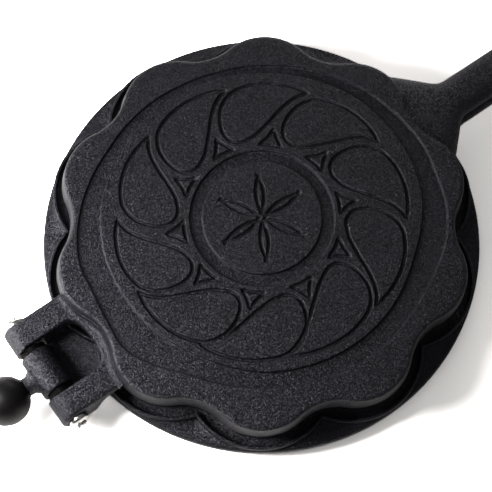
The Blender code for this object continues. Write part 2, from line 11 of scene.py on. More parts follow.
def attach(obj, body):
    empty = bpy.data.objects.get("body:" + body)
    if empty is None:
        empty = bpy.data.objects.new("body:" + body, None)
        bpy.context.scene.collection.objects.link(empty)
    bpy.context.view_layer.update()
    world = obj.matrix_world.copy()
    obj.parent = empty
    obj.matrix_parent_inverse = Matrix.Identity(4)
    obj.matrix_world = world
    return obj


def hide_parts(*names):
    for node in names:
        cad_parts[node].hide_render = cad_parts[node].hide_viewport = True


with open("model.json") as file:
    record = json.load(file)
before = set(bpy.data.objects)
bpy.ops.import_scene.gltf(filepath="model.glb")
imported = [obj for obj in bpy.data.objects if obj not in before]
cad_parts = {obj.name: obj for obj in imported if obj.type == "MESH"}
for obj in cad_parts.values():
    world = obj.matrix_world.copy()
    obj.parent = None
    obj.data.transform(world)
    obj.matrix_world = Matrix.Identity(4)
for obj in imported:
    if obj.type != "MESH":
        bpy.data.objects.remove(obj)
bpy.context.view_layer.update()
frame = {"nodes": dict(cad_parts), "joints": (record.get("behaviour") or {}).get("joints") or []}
print("frame loaded:", len(frame["nodes"]), "nodes")

mm = 0.001

iron = {
    "lobes": 10,
    "lobeReach": 104.5,
    "valleyReach": 95.5,
    "lobeRadius": 29.0,
    "flangeRadius": 110.0,
    "hingeReach": 126.5,
    "pinHeight": 19.0,
    "steps": 720,           # points round a plate, a whole number for each lobe
    "cavityInset": 9.0,     # both cooking faces lie this far inside the lobed line
    "cavityFillet": 1.2,
    "rimEdge": 0.7,         # rounding of the rim's outside edge and of its inside one
    "rimMouth": 0.8,
}
pitch = 2 * math.pi / iron["lobes"]
lobeDegrees = 360 / iron["lobes"]
centreX = frame["joints"][0]["pos_m"][0] + iron["hingeReach"] * mm


# Small helpers

def toLinear(hexColour):
    parts = [int(hexColour[i:i + 2], 16) / 255 for i in (1, 3, 5)]
    return tuple(c / 12.92 if c <= 0.04045 else ((c + 0.055) / 1.055) ** 2.4 for c in parts) + (1,)


def ease(value):
    value = np.clip(value, 0, 1)
    return value * value * (3 - 2 * value)


# Adds a node, sets its plain values, and links sockets given as (node, output)
def addNode(tree, kind, inputs=None, **settings):
    node = tree.nodes.new("ShaderNode" + kind)
    for key, value in settings.items():
        setattr(node, key, value)
    for key, value in (inputs or {}).items():
        if isinstance(value, tuple) and isinstance(value[0], bpy.types.Node):
            tree.links.new(value[0].outputs[value[1]], node.inputs[key])
        else:
            node.inputs[key].default_value = value
    return node


def newMaterial(name):
    mat = bpy.data.materials.new(name)
    mat.use_nodes = True
    tree = mat.node_tree
    tree.nodes.clear()
    shader = addNode(tree, "BsdfPrincipled")
    addNode(tree, "OutputMaterial", {"Surface": (shader, "BSDF")})
    return mat, tree, shader


# Materials

# Sand-cast iron under a baked black coating: a fine raised grain that sparkles, no bare metal
castIronLook = {
    "colour": "#08070a",
    "colourWorn": "#0e0d12",
    "paintedGlint": "#34333a",     # painted glint: a lighter colour on some grains, standing in for light catching them
    "paintedGlintFrom": 0.55,      # grains above this share of the range get the painted glint
    "paintedGlintShare": 0.55,
    "sheen": "#f4f2ff",
    "ior": 1.45,
    "roughness": 0.44,
    "roughnessSpread": 0.04,
    "grain": 0.50,          # mm
    "grainDepth": 0.25,     # mm
    "facet": 0.44,          # mm, the small flat faces of the sand's print
    "facetTilt": 0.33,      # how far they lean, as a share of the way to lying on their side
    "peel": 2.4,            # mm, the coating's slow waves
    "peelDepth": 0.06,
    "patch": 30.0,          # mm, cloudy tone from baking
}
noiseSpan = {"From Min": 0.3, "From Max": 0.7}      # where nearly all of a noise's values lie


def castIron(name, look):
    mat, tree, shader = newMaterial(name)
    place = addNode(tree, "TexCoord")
    patch, grain, peel = [addNode(tree, "TexNoise", {"Vector": (place, "Object"), "Detail": detail,
                                                     "Scale": 1 / (look[size] * mm),
                                                     "Roughness": breakUp})
                          for size, detail, breakUp in (("patch", 3.0, 0.6), ("grain", 1.0, 0.5),
                                                        ("peel", 1.0, 0.5))]
    tone = addNode(tree, "MapRange", {"Value": (patch, "Fac"), **noiseSpan})
    colour = addNode(tree, "Mix", {"Factor": (tone, "Result"), "A": toLinear(look["colour"]),
                                   "B": toLinear(look["colourWorn"])}, data_type="RGBA")
    facet = addNode(tree, "TexVoronoi", {"Vector": (place, "Object"),
                                         "Scale": 1 / (look["facet"] * mm)})
    # painted glints: some random grains are coloured lighter, standing in for light that catches
    # them
    chance = addNode(tree, "SeparateColor", {"Color": (facet, "Color")})
    glintMask = addNode(tree, "MapRange", {"Value": (chance, "Blue"), "From Min": look["paintedGlintFrom"],
                                      "To Max": look["paintedGlintShare"]})
    glintPainted = addNode(tree, "Mix", {"Factor": (glintMask, "Result"), "A": (colour, "Result"),
                                     "B": toLinear(look["paintedGlint"])}, data_type="RGBA")
    matt = addNode(tree, "MapRange", {"Value": (patch, "Fac"), **noiseSpan,
                                      "To Min": look["roughness"] - look["roughnessSpread"],
                                      "To Max": look["roughness"] + look["roughnessSpread"]})
    waves = addNode(tree, "Bump", {"Height": (peel, "Fac"), "Strength": 1.0,
                                   "Distance": look["peelDepth"] * mm})
    bump = addNode(tree, "Bump", {"Height": (grain, "Fac"), "Strength": 1.0,
                                  "Normal": (waves, "Normal"),
                                  "Distance": look["grainDepth"] * mm})
    # each facet's own colour, centred on zero, tips the normal its own way
    lean = addNode(tree, "VectorMath", {0: (facet, "Color"), 1: (0.5, 0.5, 0.5)},
                   operation="SUBTRACT")
    leaned = addNode(tree, "VectorMath", {0: (lean, "Vector"), "Scale": 2 * look["facetTilt"]},
                     operation="SCALE")
    tipped = addNode(tree, "VectorMath", {0: (bump, "Normal"), 1: (leaned, "Vector")},
                     operation="ADD")
    facing = addNode(tree, "VectorMath", {0: (tipped, "Vector")}, operation="NORMALIZE")
    tree.links.new(glintPainted.outputs["Result"], shader.inputs["Base Color"])
    tree.links.new(matt.outputs["Result"], shader.inputs["Roughness"])
    tree.links.new(facing.outputs["Vector"], shader.inputs["Normal"])
    shader.inputs["IOR"].default_value = look["ior"]
    shader.inputs["Specular Tint"].default_value = toLinear(look["sheen"])
    return mat


# Turned mild steel, blackened: smooth and dark, with faint turning marks
blackenedLook = {"colour": "#0a0708", "roughness": 0.46, "specular": 0.32,
                 "marks": 0.5, "marksDepth": 0.006}       # mm


def blackenedSteel(look):
    mat, tree, shader = newMaterial("blackenedSteel")
    place = addNode(tree, "TexCoord")
    marks = addNode(tree, "TexNoise", {"Vector": (place, "Object"), "Detail": 3.0, "Roughness": 0.6,
                                       "Scale": 1 / (look["marks"] * mm)})
    bump = addNode(tree, "Bump", {"Height": (marks, "Fac"), "Strength": 1.0,
                                  "Distance": look["marksDepth"] * mm})
    tree.links.new(bump.outputs["Normal"], shader.inputs["Normal"])
    shader.inputs["Base Color"].default_value = toLinear(look["colour"])
    shader.inputs["Roughness"].default_value = look["roughness"]
    shader.inputs["Specular IOR Level"].default_value = look["specular"]
    return mat


# Bright zinc plating on the screws: pale, a little uneven, soft reflections
zincLook = {"colour": "#d4d2cf", "roughness": 0.22, "cloud": 1.2}      # cloud in mm
cloudSpread = (0.7, 1.4)        # the cloud's range, as shares of the roughness


def metalFinish(name, look):
    mat, tree, shader = newMaterial(name)
    place = addNode(tree, "TexCoord")
    cloud = addNode(tree, "TexNoise", {"Vector": (place, "Object"), "Detail": 3.0, "Roughness": 0.6,
                                       "Scale": 1 / (look["cloud"] * mm)})
    least, most = [look["roughness"] * share for share in cloudSpread]
    matt = addNode(tree, "MapRange", {"Value": (cloud, "Fac"), **noiseSpan,
                                      "To Min": least, "To Max": most})
    tree.links.new(matt.outputs["Result"], shader.inputs["Roughness"])
    shader.inputs["Base Color"].default_value = toLinear(look["colour"])
    shader.inputs["Metallic"].default_value = 1.0
    return mat


# Plain turned steel of the pin and washers: greyer, matt, and painted near black as shade, so that
# the gaps beside the barrel stay dark
steelLook = {"colour": "#161515", "roughness": 0.6, "cloud": 2.0}

castIronBlack = castIron("seasonedCastIron", castIronLook)
ballFinish = blackenedSteel(blackenedLook)
zincFinish = metalFinish("zincPlatedSteel", zincLook)
steelFinish = metalFinish("plainTurnedSteel", steelLook)
print("materials made")


# Making pieces

def toFrame(points):
    placed = np.array(points, float) * mm
    placed[:, 0] += centreX
    return placed


def setPiece(obj, body, node, material):
    obj.data.materials.clear()
    obj.data.materials.append(material)
    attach(obj, body)
    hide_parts(node)
    return obj


def addObject(name, data):
    obj = bpy.data.objects.new(name, data)
    bpy.context.scene.collection.objects.link(obj)
    return obj


def makeForm(points, faces):
    form = bmesh.new()
    corners = [form.verts.new(point) for point in points]
    for face in faces:
        form.faces.new([corners[i] for i in face])
    return form


def fromForm(name, form):
    mesh = bpy.data.meshes.new(name)
    form.to_mesh(mesh)
    form.free()
    return addObject(name, mesh)


def shaded(obj, sharpAngle):
    obj.data.shade_smooth()
    if sharpAngle:
        obj.data.set_sharp_from_angle(angle=math.radians(sharpAngle))
    return obj


# A mesh piece from points in mm; near points are welded and faces turned outward
def makePiece(name, points, faces, sharpAngle=None):
    form = makeForm(toFrame(points), faces)
    bmesh.ops.remove_doubles(form, verts=form.verts, dist=0.004 * mm)
    bmesh.ops.recalc_face_normals(form, faces=form.faces)
    return shaded(fromForm(name, form), sharpAngle)


# Quads between rings of equally many points
def ringFaces(ringCount, steps):
    faces = []
    for first in range(0, (ringCount - 1) * steps, steps):
        for j in range(steps):
            k = (j + 1) % steps
            faces.append((first + j, first + k, first + steps + k, first + steps + j))
    return faces


# The same with both ends closed
def cappedFaces(ringCount, steps):
    last = (ringCount - 1) * steps
    caps = [tuple(range(steps))[::-1], tuple(range(last, last + steps))]
    return ringFaces(ringCount, steps) + caps


def baked(obj):
    bpy.context.view_layer.update()
    shaped = obj.evaluated_get(bpy.context.evaluated_depsgraph_get())
    mesh = bpy.data.meshes.new_from_object(shaped)
    mesh.transform(obj.matrix_world)
    name = obj.name
    bpy.data.objects.remove(obj, do_unlink=True)
    return addObject(name, mesh)


# A flat outline in mm made thick along its own Z, with rounded edges
def slab(name, outline, low, high, rounding=0.0):
    curve = bpy.data.curves.new(name, "CURVE")
    curve.dimensions = "2D"
    curve.fill_mode = "BOTH"
    curve.extrude = (high - low) / 2 - rounding
    curve.bevel_depth = rounding
    curve.bevel_resolution = 2
    curve.offset = -rounding
    spline = curve.splines.new("POLY")
    spline.points.add(len(outline) - 1)
    for point, (x, y) in zip(spline.points, outline):
        point.co = (x, y, 0, 1)
    spline.use_cyclic_u = True
    obj = addObject(name, curve)
    obj.location.z = (low + high) / 2
    obj = baked(obj)
    form = bmesh.new()
    form.from_mesh(obj.data)
    bmesh.ops.remove_doubles(form, verts=form.verts, dist=0.01)
    bmesh.ops.recalc_face_normals(form, faces=form.faces)
    form.to_mesh(obj.data)
    form.free()
    return obj


# A closed outline in mm carried up through (how far it moves outward, height) pairs
def loft(name, outline, levels):
    outline = np.array(outline)
    points = [(x, y, height) for outward, height in levels for x, y in movedLine(outline, outward)]
    return fromForm(name, makeForm(points, cappedFaces(len(levels), len(outline))))


def combine(obj, tool, operation):
    step = obj.modifiers.new(operation.lower(), "BOOLEAN")
    step.operation = operation
    step.solver = "EXACT"
    step.object = tool
    result = baked(obj)
    bpy.data.objects.remove(tool, do_unlink=True)
    return result


def roundEdges(obj, width, angle):
    step = obj.modifiers.new("edges", "BEVEL")
    step.width = width
    step.segments = 3
    step.limit_method = "ANGLE"
    step.angle_limit = math.radians(angle)
    return baked(obj)


# Scales a piece made in mm into the frame and shades it
def finishForm(obj, sharpAngle):
    obj.data.transform(Matrix.Translation((centreX, 0, 0)) @ Matrix.Scale(mm, 4))
    return shaded(obj, sharpAngle)


def arc(centreXy, radius, start, end, steps):
    turns = np.radians(np.linspace(start, end, steps + 1))
    return [(centreXy[0] + radius * math.cos(t), centreXy[1] + radius * math.sin(t)) for t in turns]


# A profile of (radius, height) turned about Z
def turnedPoints(profile, steps):
    turns = np.arange(steps) * 2 * math.pi / steps
    return np.concatenate([np.column_stack([radius * np.cos(turns), radius * np.sin(turns),
                                            np.full(steps, height)]) for radius, height in profile])


def turnedPiece(name, profile, steps, sharpAngle, place):
    points = np.array([tuple(place @ Vector(p)) for p in turnedPoints(profile, steps)])
    return makePiece(name, points, ringFaces(len(profile), steps), sharpAngle)


# Outlines of the plates

angles = np.arange(iron["steps"]) * 2 * math.pi / iron["steps"]
fromValley = np.abs((angles + pitch / 2) % pitch - pitch / 2)


# Distance from the middle to the ten-lobed line, moved outward by offset
def flowerReach(offset, away=fromValley):
    half = pitch / 2
    centre = iron["lobeReach"] - iron["lobeRadius"]
    valley = iron["valleyReach"]
    valleyRadius = ((centre ** 2 + valley ** 2 - iron["lobeRadius"] ** 2
                     - 2 * centre * valley * math.cos(half))
                    / (2 * iron["lobeRadius"] - 2 * valley + 2 * centre * math.cos(half)))
    far = valley + valleyRadius
    turn = math.atan2(far * math.sin(half), far * math.cos(half) - centre)
    radius = iron["lobeRadius"] + offset
    switch = half - math.atan2(radius * math.sin(turn), centre + radius * math.cos(turn))
    lobeAngle = half - away
    onLobe = centre * np.cos(lobeAngle) + np.sqrt(radius ** 2 - (centre * np.sin(lobeAngle)) ** 2)
    inValley = (far * np.cos(away)
                - np.sqrt(np.maximum((valleyRadius - offset) ** 2 - (far * np.sin(away)) ** 2, 0)))
    return np.where(away > switch, onLobe, inValley)


lip = {"reach": 109.5, "cuspReach": 98.5, "width": 1.6, "height": 3.5, "rounding": 0.5, "foot": 0.3}


# Distance to the scalloped lip: ten outward arcs that meet in cusps
def scallopReach(inset):
    half = pitch / 2
    centre = ((lip["reach"] ** 2 - lip["cuspReach"] ** 2)
              / (2 * (lip["reach"] - lip["cuspReach"] * math.cos(half))))
    radius = lip["reach"] - centre - inset
    lobeAngle = half - fromValley
    return centre * np.cos(lobeAngle) + np.sqrt(radius ** 2 - (centre * np.sin(lobeAngle)) ** 2)


# A ring of points round the plates at a reach and height, each a number or one for each step
def ring(reach, height):
    reach = np.broadcast_to(reach, angles.shape)
    height = np.broadcast_to(height, angles.shape)
    return np.column_stack([reach * np.cos(angles), reach * np.sin(angles), height])


quarter = np.radians((0, 30, 60, 90))
innerShares = (0.8, 0.55, 0.3, 0.1)     # rings that carry a flat floor towards the middle


# Rings round a corner, out and up being its radii, less than nought inward and down
def cornerRings(reachOf, offset, height, out, up, turns):
    return [ring(reachOf(offset + out * (1 - math.cos(turn))), height + up * (1 - math.sin(turn)))
            for turn in turns]


# A closed curve of reaches given every ten degrees, read at any angles
def tableReach(table, turn):
    places = np.degrees(turn) % 360 / 10
    here = places.astype(int) % 36
    t = places - np.floor(places)
    before, first, second, beyond = [np.array(table)[(here + k) % 36] for k in (-1, 0, 1, 2)]
    return (2 * first + (second - before) * t
            + (2 * before - 5 * first + 4 * second - beyond) * t ** 2
            + (3 * first - before - 3 * second + beyond) * t ** 3) / 2


# Lid

lid = {
    "under": 19.3,
    "top": 37.0,
    "draft": 2.3,
    "edge": 2.2,
    "lean": (-1.4, -3.2),   # how far the top's outline lies off the rings' middle
    "wave": 0.04,           # mm, slow unevenness of the top
    "waves": ((0.11, 1.3), (0.13, 0.4), (0.23, 0.19)),
    "waveShare": 0.6,       # height of the last wave beside the first two, crossed
    "waveFrom": 6.0,        # mm from the edge to where they have their whole height
    "ceiling": 28.3,
    "grid": 3.2,            # mm between the points of the flat parts
    "gridRow": 0.866,       # share of that between their rows
    "gridFromEdge": 2.0,
    "gridFromLines": 1.1,
}
ornament = {
    "depth": 1.4,
    "grooveWidth": 2.1,
    "grooveSlope": 0.60,    # share of a groove's half width that its wall takes
    # the sunk band's two edges, mm from the middle every ten degrees round from the handle
    "bandInner": (79.3, 79.4, 79.5, 78.9, 78.3, 77.9, 77.6, 77.8, 78.0, 78.0, 78.0, 77.7,
                  77.3, 78.0, 78.8, 78.6, 78.3, 77.6, 77.0, 76.5, 76.1, 75.8, 76.0, 77.0,
                  77.4, 77.3, 77.3, 77.2, 77.0, 76.6, 76.1, 76.1, 77.3, 78.9, 79.5, 79.4),
    "bandOuter": (87.5, 86.6, 85.8, 84.4, 83.5, 82.5, 81.9, 81.3, 81.5, 82.1, 82.8, 83.3,
                  84.0, 86.0, 88.0, 89.8, 90.9, 89.5, 90.4, 92.7, 89.8, 86.0, 85.3, 85.1,
                  85.1, 85.3, 85.6, 86.4, 86.1, 86.0, 86.4, 88.3, 89.9, 90.1, 88.8, 88.8),
    "ringInner": 29.2,
    "ringOuter": 35.2,
    "edgeSoftness": 0.16,
    "edgeRows": (-0.7, -0.22, -0.07, 0.07, 0.22, 0.7),      # rows of points across such an edge
    "lineSpacing": 0.8,     # and along it
    "clear": 0.5,           # the engraved lines stay this far inside the bands
    "petals": 6,
    "petalRadius": 24.0,
    "petalInset": 1.3,
    # (degrees from a valley, mm from the middle), from the tip round to the tip
    "drop": ((-35.5, 70.3), (-30, 71.5), (-24, 72.0), (-18, 71.9), (-12, 71.0), (-6, 69.2),
             (-2, 66.5), (1.5, 62.5), (4.2, 57.5), (5.8, 52), (6.0, 47.5), (4.5, 44), (1.5, 41.9),
             (-3, 41.0), (-8, 41.8), (-12.5, 43.4), (-17, 46.8), (-21, 51.2), (-25, 57.5),
             (-29, 63.8), (-32.5, 68)),
    # where the tail of each drop ends, in degrees from that drop's valley
    "tips": (-35.7, -36.5, -37.0, -38.5, -36.5, -34.0, -38.5, -42.0, -45.0, -39.0),
    "tailFrom": 30.0,       # degrees from the valley to where the tail has its whole stretch
    "triangle": ((4, 38.2), (20.5, 38.5), (11.5, 47)),
    "triangleBow": 0.5,
    "dropSpan": (-50, 26),  # degrees from a valley that its drop and triangle can reach
}
petalDegrees = 360 / ornament["petals"]


def turnedBy(points, degrees):
    c, s = math.cos(math.radians(degrees)), math.sin(math.radians(degrees))
    return np.array(points) @ np.array([[c, s], [-s, c]])


# A closed line through points at even steps; corners lists the points where it may turn sharply
def closedLine(spots, corners, step=0.7):
    spots = np.array(spots, float)
    count = len(spots)
    line = []
    for i in range(count):
        here, ahead = spots[i], spots[(i + 1) % count]
        before = 2 * here - ahead if i in corners else spots[i - 1]
        beyond = 2 * ahead - here if (i + 1) % count in corners else spots[(i + 2) % count]
        pieces = max(2, round(float(np.linalg.norm(ahead - here)) / step))
        for j in range(pieces):
            t = j / pieces
            line.append((2 * here + (ahead - before) * t
                         + (2 * before - 5 * here + 4 * ahead - beyond) * t ** 2
                         + (3 * here - before - 3 * ahead + beyond) * t ** 3) / 2)
    return np.array(line)


def polarPoints(pairs):
    return [(r * math.cos(math.radians(a)), r * math.sin(math.radians(a))) for a, r in pairs]


# One drop of the ten, its tail drawn out to that drop's own tip
def dropLine(k):
    stretch = ornament["tips"][k] / ornament["drop"][0][0]
    pairs = [(a * (1 + (stretch - 1) * float(ease(-a / ornament["tailFrom"]))), r)
             for a, r in ornament["drop"]]
    return closedLine(polarPoints(pairs), (0,))


def triangleLine():
    a, b, c = [np.array(p) for p in polarPoints(ornament["triangle"])]
    middle = (a + b + c) / 3
    spots = []
    for start, end in ((a, b), (b, c), (c, a)):
        centre = (start + end) / 2
        inward = (middle - centre) / np.linalg.norm(middle - centre)
        spots += [start, centre + inward * ornament["triangleBow"]]
    return closedLine(spots, (0, 2, 4))


def petalLine():
    radius = ornament["petalRadius"]
    (x, y), = polarPoints([(petalDegrees, radius)])
    upper = arc((x, y), radius, 180 + petalDegrees, 360 - petalDegrees, 30)
    lower = arc((x, -y), radius, petalDegrees, 180 - petalDegrees, 30)
    return movedLine(np.array(upper[:-1] + lower[:-1]), -ornament["petalInset"])


# A closed anticlockwise line moved outward
def movedLine(line, distance):
    ahead = np.roll(line, -1, 0) - line
    ahead /= np.linalg.norm(ahead, axis=1)[:, None]
    behind = np.roll(ahead, 1, 0)
    middle = ahead + behind
    middle /= np.maximum(np.linalg.norm(middle, axis=1), 1e-9)[:, None]
    outward = np.column_stack([middle[:, 1], -middle[:, 0]])
    stretch = np.minimum(1 / np.maximum((middle * ahead).sum(1), 0.5), 1.6)     # at corners
    return line + outward * distance * stretch[:, None]


def nearestDistance(points, lines):
    starts = np.concatenate(lines)
    ends = np.concatenate([np.roll(line, -1, 0) for line in lines])
    along = ends - starts
    lengths = np.maximum((along ** 2).sum(1), 1e-12)
    result = np.empty(len(points))
    chunk = max(1, 400000 // len(starts))       # a few at a time, to spare memory
    for i in range(0, len(points), chunk):
        x = points[i:i + chunk, 0, None] - starts[None, :, 0]
        y = points[i:i + chunk, 1, None] - starts[None, :, 1]
        t = np.clip((x * along[:, 0] + y * along[:, 1]) / lengths, 0, 1)
        squares = (x - t * along[:, 0]) ** 2 + (y - t * along[:, 1]) ** 2
        result[i:i + chunk] = np.sqrt(squares.min(1))
    return result


grooves = [[turnedBy(line, lobeDegrees * k) for line in (dropLine(k), triangleLine())]
           for k in range(iron["lobes"])]
petals = [turnedBy(petalLine(), petalDegrees * k) for k in range(ornament["petals"])]


# How far the lid's top is sunk at each point, from 0 on the face to 1 on a band's floor
def sunkShare(points):
    reach = np.hypot(points[:, 0], points[:, 1])
    turn = np.arctan2(points[:, 1], points[:, 0])
    soft, clear = ornament["edgeSoftness"], ornament["clear"]
    bandInner = tableReach(ornament["bandInner"], turn)
    band = np.maximum(bandInner - reach, reach - tableReach(ornament["bandOuter"], turn))
    middleRing = np.maximum(ornament["ringInner"] - reach, reach - ornament["ringOuter"])
    sunk = ease((soft - np.minimum(band, middleRing)) / (2 * soft))
    half = ornament["grooveWidth"] / 2
    slope = half * ornament["grooveSlope"]
    first, last = ornament["dropSpan"]
    outer = (reach > ornament["ringOuter"] + clear) & (reach < bandInner - clear)
    places = [(reach < ornament["ringInner"] - clear, petals)]
    for k in range(iron["lobes"]):
        away = (np.degrees(turn) - lobeDegrees * k + 180) % 360 - 180
        places.append((outer & (away > first) & (away < last), grooves[k]))
    for near, lines in places:
        gap = nearestDistance(points[near], lines)
        sunk[near] = np.maximum(sunk[near], ease((half - gap) / slope))
    return sunk


# How far points lie inside a ring, along the line from the middle
def edgeDistance(points, edgeRing):
    turns = np.arctan2(edgeRing[:, 1], edgeRing[:, 0])
    limit = np.interp(np.arctan2(points[:, 1], points[:, 0]), turns, np.hypot(*edgeRing.T),
                      period=2 * math.pi)
    return limit - np.hypot(points[:, 0], points[:, 1])


# A closed line round the middle, its reach worked out from the turn
def roundLine(reachAt, longest):
    count = int(2 * math.pi * longest / ornament["lineSpacing"])
    turns = np.arange(count) * 2 * math.pi / count
    reach = reachAt(turns)
    return np.column_stack([reach * np.cos(turns), reach * np.sin(turns)])


def lidTop(edgeRing):
    lines = [edgeRing]
    steps, longest = ornament["edgeRows"], max(ornament["bandOuter"])
    for reach in (ornament["ringInner"], ornament["ringOuter"]):
        lines += [roundLine(lambda turns: reach + step, reach + step) for step in steps]
    for table in (ornament["bandInner"], ornament["bandOuter"]):
        lines += [roundLine(lambda turns: tableReach(table, turns) + step, longest)
                  for step in steps]
    half = ornament["grooveWidth"] / 2
    floor = half * (1 - ornament["grooveSlope"])
    across = (half + 0.3, half, (half + floor) / 2, floor)      # rows of points across a groove
    across = [-step for step in across] + list(reversed(across))
    for line in [line for pair in grooves for line in pair] + petals:
        lines += [movedLine(line, step) for step in across]
    grid = lid["grid"]
    rows = np.arange(-34, 35)       # far enough to cover the whole lid
    spots = np.array([((i + (j % 2) / 2) * grid, j * grid * lid["gridRow"])
                      for i in rows for j in rows])
    spots = spots[edgeDistance(spots, edgeRing) > lid["gridFromEdge"]]
    spots = spots[nearestDistance(spots, lines[1:]) > lid["gridFromLines"]]
    points, edges = [], []
    for line in lines:
        first, count = len(points), len(line)
        points += [Vector(p) for p in line]
        edges += [(first + i, first + (i + 1) % count) for i in range(count)]
    points += [Vector(p) for p in spots]
    found = delaunay_2d_cdt(points, edges, [], 0, 1e-5)
    flat = np.array([tuple(p) for p in found[0]])
    faces = np.array([tuple(face) for face in found[2]])
    faces = faces[edgeDistance(flat[faces].mean(1), edgeRing) > 0]
    x, y = flat.T
    (a, b), (c, d), (e, f) = lid["waves"]
    share = lid["waveShare"]
    wave = np.sin(a * x + b) * np.sin(c * y + d) + share * np.sin(e * x - f * y) - (1 + share)
    wave *= lid["wave"] * ease(edgeDistance(flat, edgeRing) / lid["waveFrom"])
    height = lid["top"] - ornament["depth"] * sunkShare(flat) + wave
    return np.column_stack([flat, height]), [tuple(face) for face in faces]


# Moves points of the lid's outside over, more the higher they are
def leaned(points):
    share = (points[:, 2] - lid["under"]) / (lid["top"] - lid["under"])
    points[:, :2] += share[:, None] * np.array(lid["lean"])
    return points


def makeLid():
    draft, edge, rimEdge = lid["draft"], lid["edge"], iron["rimEdge"]
    rings = cornerRings(flowerReach, -draft, lid["top"], -edge, -edge,
                        np.radians(np.linspace(90, 0, 9)))
    high, low = lid["top"] - edge, lid["under"] + rimEdge
    for share in (0.25, 0.5, 0.75, 1.0):
        rings.append(ring(flowerReach(-draft * (1 - share)), high + (low - high) * share))
    rings = [leaned(points) for points in rings]
    inset, fillet = -iron["cavityInset"], iron["cavityFillet"]
    rings += cornerRings(flowerReach, 0, lid["under"], -rimEdge, rimEdge, quarter)[1:]
    rings += cornerRings(flowerReach, inset, lid["under"], iron["rimMouth"], iron["rimMouth"],
                         quarter[::-1])
    rings += cornerRings(flowerReach, inset, lid["ceiling"], -fillet, -fillet, quarter)
    rings += [ring(flowerReach(inset - fillet) * share, lid["ceiling"]) for share in innerShares]
    points = np.concatenate(rings)
    faces = ringFaces(len(rings), iron["steps"])
    faces.append(tuple(range(len(points) - iron["steps"], len(points))))
    topPoints, topFaces = lidTop(rings[0][:, :2])
    faces += [tuple(i + len(points) for i in face) for face in topFaces]
    return makePiece("lidCasting", np.concatenate([points, topPoints]), faces)


setPiece(makeLid(), "upper_half", "upper_plate", castIronBlack)
print("lid made")


# Lower plate

base = {
    "flangeTop": 10.0,
    "flangeUnder": 5.0,
    "flangeEdge": 1.2,
    "blockInset": 2.0,
    "blockTop": 19.0,
    "blockFoot": 1.5,       # fillet where the block meets the flange
    "floor": 10.0,
    # the foot ring's section, as (reach, height), and the recess inside it
    "foot": ((95.0, 5.0), (94.2, 4.2), (93.6, 0.6), (93.0, 0.0), (85.0, 0.0), (84.3, 0.6),
             (83.7, 2.2), (82.9, 3.0)),
    "footInner": 84.0,
}


def makeBase():
    inset, fillet, mouth = -iron["cavityInset"], iron["cavityFillet"], iron["rimMouth"]
    rings = [ring(flowerReach(inset - fillet) * share, base["floor"])
             for share in innerShares[::-1]]
    rings += cornerRings(flowerReach, inset, base["floor"], -fillet, fillet, quarter[::-1])
    rings += cornerRings(flowerReach, inset, base["blockTop"], mouth, -mouth, quarter)
    outer, rimEdge, foot = -base["blockInset"], iron["rimEdge"], base["blockFoot"]
    rings += cornerRings(flowerReach, outer, base["blockTop"], -rimEdge, -rimEdge, quarter[::-1])
    top, flange, edge = base["flangeTop"], iron["flangeRadius"], base["flangeEdge"]
    rings += cornerRings(flowerReach, outer, top, foot, foot, np.radians((0, 25, 50, 75, 90)))
    wide, soft, lipFoot, high = lip["width"], lip["rounding"], lip["foot"], top + lip["height"]
    rings += [ring(scallopReach(wide + lipFoot), top), ring(scallopReach(wide), top + lipFoot)]
    rings += cornerRings(scallopReach, wide, high, -soft, -soft, quarter)
    rings += cornerRings(scallopReach, 0, high, soft, -soft, quarter[::-1])
    rings += [ring(scallopReach(0), top + lipFoot),
              ring(np.minimum(scallopReach(-lipFoot), flange - lipFoot), top)]
    outward = np.maximum(flange - edge, scallopReach(-lipFoot) + 0.05)
    rings += cornerRings(np.asarray, flange, top, outward - flange, -edge,
                         np.radians((90, 65, 40, 20, 0)))
    rings += cornerRings(np.asarray, flange, base["flangeUnder"], -edge, edge, quarter)
    rings += [ring(reach, height) for reach, height in base["foot"]]
    rings += [ring(base["footInner"] * share, base["foot"][-1][1]) for share in innerShares]
    return makePiece("lowerCasting", np.concatenate(rings), cappedFaces(len(rings), iron["steps"]))


setPiece(makeBase(), "lower_half", "lower_plate", castIronBlack)
print("lower plate made")


# Cooking faces: studs on a square grid in each of five hearts, and the ribs between the hearts

studs = {
    "base": 8.2,
    "tip": 6.2,
    "height": 6.5,
    "rounding": 0.55,
    "sunk": 0.8,
    "segments": 3,
    "ribWidth": 3.4,
    "ribReach": 90.0,
    "ribRounding": 0.5,
    "hearts": 5,
    # one heart, in mm along its middle line and to its side
    "places": ((28.0, 0), (37.34, 9.33), (46.67, 18.67), (46.67, 0), (56.0, 28.0), (56.0, 9.33),
               (65.34, 18.67), (65.34, 0), (74.67, 28.0), (74.67, 9.33), (84.0, 18.67)),
}
heartDegrees = 360 / studs["hearts"]


def studForm():
    form = bmesh.new()
    bmesh.ops.create_cube(form, size=2)
    for vert in form.verts:
        top = vert.co.z > 0
        side = (studs["tip"] if top else studs["base"]) / 2
        vert.co = (math.copysign(side, vert.co.x), math.copysign(side, vert.co.y),
                   studs["height"] if top else -studs["sunk"])
    sides = [edge for edge in form.edges if any(v.co.z > 0 for v in edge.verts)]
    bmesh.ops.bevel(form, geom=sides, offset=studs["rounding"], segments=studs["segments"],
                    affect="EDGES", profile=0.5)
    form.verts.index_update()
    points = np.array([tuple(v.co) for v in form.verts])
    faces = [tuple(v.index for v in face.verts) for face in form.faces]
    form.free()
    return points, faces


def makeStuds(name, floor, facing):
    unit, unitFaces = studForm()
    points, faces = [], []
    for k in range(studs["hearts"]):
        for along, side in studs["places"]:
            for flip in ((1, -1) if side else (1,)):
                flat = turnedBy(turnedBy(unit[:, :2], 45) + (along, side * flip), heartDegrees * k)
                faces += [tuple(i + len(unit) * len(points) for i in face) for face in unitFaces]
                points.append(np.column_stack([flat, floor + facing * unit[:, 2]]))
    return makePiece(name, np.concatenate(points), faces, 50)


